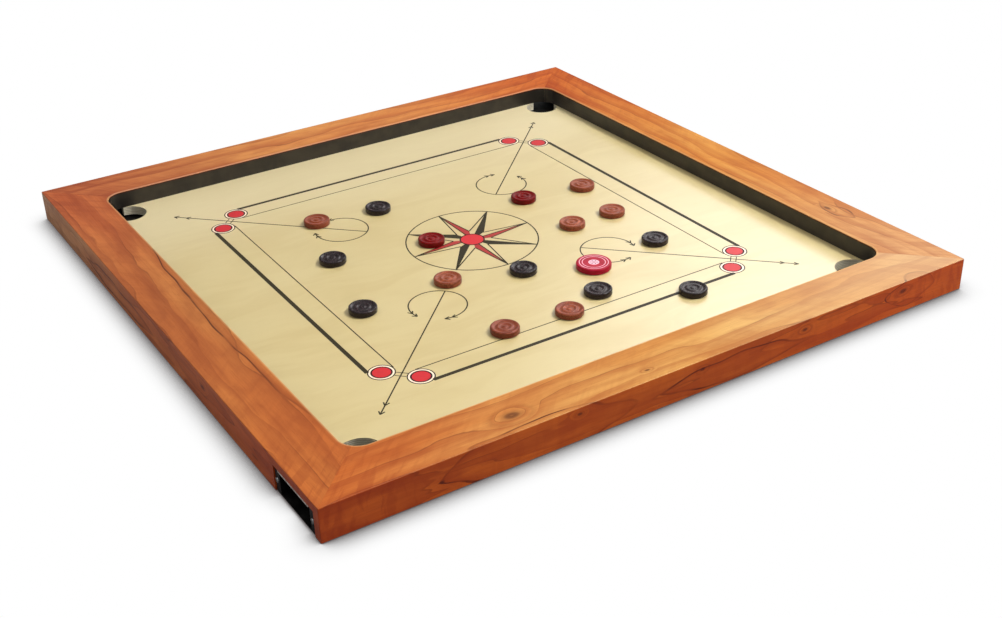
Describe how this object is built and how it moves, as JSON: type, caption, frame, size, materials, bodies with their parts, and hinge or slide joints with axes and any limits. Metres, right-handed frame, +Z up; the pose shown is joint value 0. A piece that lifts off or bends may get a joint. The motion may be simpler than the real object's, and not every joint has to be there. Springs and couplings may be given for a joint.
{
  "type": "carrom board",
  "caption": "Square tabletop game board with raised mitred wooden rails, corner pockets with side trays, and loose turned discs on it.",
  "frame": {"origin": "centre of the underside of the frame", "axes": "+Z up, +X along the front rail to the right, +Y from the front rail to the back rail"},
  "size_m": [0.874, 0.874, 0.041],
  "materials": {
    "rail_wood": "glossy varnished hardwood, black paint on the inner wall",
    "spline_wood": "raw hardwood",
    "surface_ply": "lacquered pale plywood with printed lines",
    "batten_wood": "raw softwood",
    "tray_steel": "black enamel, satin",
    "screw_steel": "bright zinc",
    "black_man_wood": "stained black, satin varnish",
    "brown_man_wood": "red-brown turned wood, satin",
    "red_man_wood": "stained dark red, satin varnish",
    "striker_plastic": "polished pink-red with pale rings"
  },
  "bodies": {
    "board": {"front_rail": "rail_wood", "right_rail": "rail_wood", "back_rail": "rail_wood", "left_rail": "rail_wood", "playing_surface": "surface_ply", "front_left_mitre_spline": "spline_wood", "front_left_pocket_tray": "tray_steel", "front_left_tray_screw_1": "screw_steel", "front_left_tray_screw_2": "screw_steel", "back_left_mitre_spline": "spline_wood", "back_left_pocket_tray": "tray_steel", "back_left_tray_screw_1": "screw_steel", "back_left_tray_screw_2": "screw_steel", "back_right_mitre_spline": "spline_wood", "back_right_pocket_tray": "tray_steel", "back_right_tray_screw_1": "screw_steel", "back_right_tray_screw_2": "screw_steel", "front_right_mitre_spline": "spline_wood", "front_right_pocket_tray": "tray_steel", "front_right_tray_screw_1": "screw_steel", "front_right_tray_screw_2": "screw_steel", "left_batten": "batten_wood", "left_batten_screw_front": "screw_steel", "left_batten_screw_middle": "screw_steel", "left_batten_screw_back": "screw_steel", "centre_batten": "batten_wood", "centre_batten_screw_front": "screw_steel", "centre_batten_screw_middle": "screw_steel", "centre_batten_screw_back": "screw_steel", "right_batten": "batten_wood", "right_batten_screw_front": "screw_steel", "right_batten_screw_middle": "screw_steel", "right_batten_screw_back": "screw_steel"},
    "black_man_1": {"black_man_1": "black_man_wood"},
    "black_man_2": {"black_man_2": "black_man_wood"},
    "black_man_3": {"black_man_3": "black_man_wood"},
    "black_man_4": {"black_man_4": "black_man_wood"},
    "black_man_5": {"black_man_5": "black_man_wood"},
    "black_man_6": {"black_man_6": "black_man_wood"},
    "black_man_7": {"black_man_7": "black_man_wood"},
    "brown_man_1": {"brown_man_1": "brown_man_wood"},
    "brown_man_2": {"brown_man_2": "brown_man_wood"},
    "brown_man_3": {"brown_man_3": "brown_man_wood"},
    "brown_man_4": {"brown_man_4": "brown_man_wood"},
    "brown_man_5": {"brown_man_5": "brown_man_wood"},
    "brown_man_6": {"brown_man_6": "brown_man_wood"},
    "brown_man_7": {"brown_man_7": "brown_man_wood"},
    "red_man_1": {"red_man_1": "red_man_wood"},
    "red_man_2": {"red_man_2": "red_man_wood"},
    "striker": {"striker": "striker_plastic"}
  },
  "joints": [
    {"name": "black_man_1_slide", "type": "slide", "parent": "board", "child": "black_man_1", "axis": [1, 0, 0], "range_m": [-0.053, 0.41]},
    {"name": "black_man_2_slide", "type": "slide", "parent": "board", "child": "black_man_2", "axis": [1, 0, 0], "range_m": [-0.171, 0.106]},
    {"name": "black_man_3_slide", "type": "slide", "parent": "board", "child": "black_man_3", "axis": [1, 0, 0], "range_m": [-0.142, 0.085]},
    {"name": "black_man_4_slide", "type": "slide", "parent": "board", "child": "black_man_4", "axis": [1, 0, 0], "range_m": [-0.073, 0.164]},
    {"name": "black_man_5_slide", "type": "slide", "parent": "board", "child": "black_man_5", "axis": [1, 0, 0], "range_m": [-0.027, 0.304]},
    {"name": "black_man_6_slide", "type": "slide", "parent": "board", "child": "black_man_6", "axis": [1, 0, 0], "range_m": [-0.067, 0.161]},
    {"name": "black_man_7_slide", "type": "slide", "parent": "board", "child": "black_man_7", "axis": [1, 0, 0], "range_m": [-0.493, 0.209]},
    {"name": "brown_man_1_slide", "type": "slide", "parent": "board", "child": "brown_man_1", "axis": [1, 0, 0], "range_m": [-0.204, 0.053]},
    {"name": "brown_man_2_slide", "type": "slide", "parent": "board", "child": "brown_man_2", "axis": [1, 0, 0], "range_m": [-0.085, 0.073]},
    {"name": "brown_man_3_slide", "type": "slide", "parent": "board", "child": "brown_man_3", "axis": [1, 0, 0], "range_m": [-0.255, 0.05]},
    {"name": "brown_man_4_slide", "type": "slide", "parent": "board", "child": "brown_man_4", "axis": [1, 0, 0], "range_m": [-0.05, 0.027]},
    {"name": "brown_man_5_slide", "type": "slide", "parent": "board", "child": "brown_man_5", "axis": [1, 0, 0], "range_m": [-0.481, 0.03]},
    {"name": "brown_man_6_slide", "type": "slide", "parent": "board", "child": "brown_man_6", "axis": [1, 0, 0], "range_m": [-0.056, 0.138]},
    {"name": "brown_man_7_slide", "type": "slide", "parent": "board", "child": "brown_man_7", "axis": [1, 0, 0], "range_m": [-0.03, 0.155]},
    {"name": "red_man_1_slide", "type": "slide", "parent": "board", "child": "red_man_1", "axis": [1, 0, 0], "range_m": [-0.106, 0.238]},
    {"name": "red_man_2_slide", "type": "slide", "parent": "board", "child": "red_man_2", "axis": [1, 0, 0], "range_m": [-0.27, 0.056]},
    {"name": "striker_slide", "type": "slide", "parent": "board", "child": "striker", "axis": [1, 0, 0], "range_m": [-0.429, 0.067]}
  ]
}
